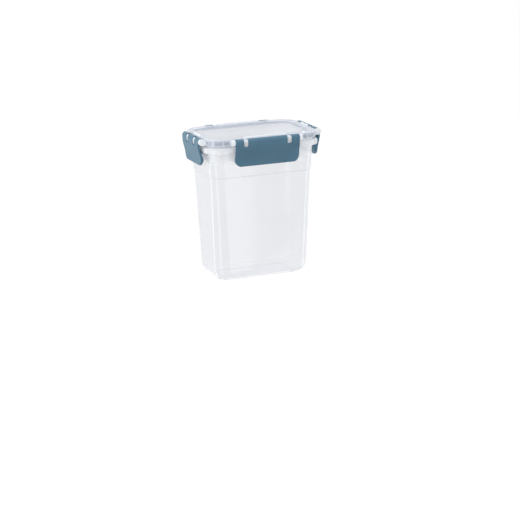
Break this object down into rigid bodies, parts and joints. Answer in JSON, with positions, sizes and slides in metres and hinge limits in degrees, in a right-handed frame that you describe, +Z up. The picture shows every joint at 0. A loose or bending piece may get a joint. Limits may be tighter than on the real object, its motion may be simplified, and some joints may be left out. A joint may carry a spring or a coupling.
{
  "type": "food canister",
  "caption": "Tall clear rectangular food canister with a clear sealed lid held by hinged snap clips that hook under the body's flange.",
  "frame": {"origin": "centre of the base, on the surface the canister stands on", "axes": "+Z up, X along the long side, -Y towards the picture's viewer (the long front clip)"},
  "size_m": [0.1362, 0.094, 0.1545],
  "materials": {
    "container_pp": "clear polypropylene, slightly milky, moulded smooth",
    "lid_clear": "clear moulded plastic with a fine matte sunk panel",
    "seal_silicone": "matte grey-blue silicone",
    "clip_blue": "satin steel-blue moulded plastic"
  },
  "bodies": {
    "container": {"container": "container_pp"},
    "lid": {"lid": "lid_clear", "seal": "seal_silicone"},
    "clip_front": {"clip_front": "clip_blue"},
    "clip_rear": {"clip_rear": "clip_blue"},
    "clip_left": {"clip_left": "clip_blue"},
    "clip_right": {"clip_right": "clip_blue"}
  },
  "joints": [
    {"name": "lid_lift", "type": "slide", "parent": "container", "child": "lid", "axis": [0, 0, 1], "range_m": [0, 0.011]},
    {"name": "clip_front_hinge", "type": "hinge", "parent": "lid", "child": "clip_front", "pos_m": [0, -0.04369, 0.1498], "axis": [-1, 0, 0], "range_deg": [0, 150]},
    {"name": "clip_rear_hinge", "type": "hinge", "parent": "lid", "child": "clip_rear", "pos_m": [0, 0.04369, 0.1498], "axis": [1, 0, 0], "range_deg": [0, 150]},
    {"name": "clip_left_hinge", "type": "hinge", "parent": "lid", "child": "clip_left", "pos_m": [-0.06479, 0, 0.1498], "axis": [0, 1, 0], "range_deg": [0, 150]},
    {"name": "clip_right_hinge", "type": "hinge", "parent": "lid", "child": "clip_right", "pos_m": [0.06479, 0, 0.1498], "axis": [0, -1, 0], "range_deg": [0, 150]}
  ],
  "couplings": [
    {"joint": "clip_front_hinge", "follows": "lid_lift", "rad_per_m": 237.9},
    {"joint": "clip_rear_hinge", "follows": "lid_lift", "rad_per_m": 237.9},
    {"joint": "clip_left_hinge", "follows": "lid_lift", "rad_per_m": 237.9},
    {"joint": "clip_right_hinge", "follows": "lid_lift", "rad_per_m": 237.9}
  ]
}
